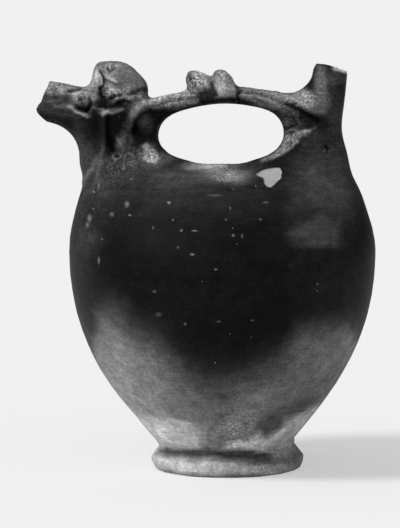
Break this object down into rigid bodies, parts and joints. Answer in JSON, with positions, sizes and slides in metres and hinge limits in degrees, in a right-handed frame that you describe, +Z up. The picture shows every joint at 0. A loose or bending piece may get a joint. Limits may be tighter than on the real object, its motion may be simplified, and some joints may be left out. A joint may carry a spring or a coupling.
{
  "type": "askos",
  "caption": "Dark burnished clay pouring jug: bag-shaped body on a low foot, narrow filling neck, broken spout with an animal's head, strap handle with a worn figure over the saddle.",
  "frame": {"origin": "under the middle of the vessel's length and width, on the plane it stands on", "axes": "+Z up out of the body; +X from the animal-head spout towards the filling neck; -Y is the side seen in the picture"},
  "size_m": [0.2002, 0.1788, 0.2415],
  "materials": {
    "burnished_clay": "dark burnished slip, worn and fire-clouded to grey low on the body"
  },
  "bodies": {
    "root": {"askos": "burnished_clay"}
  },
  "joints": []
}
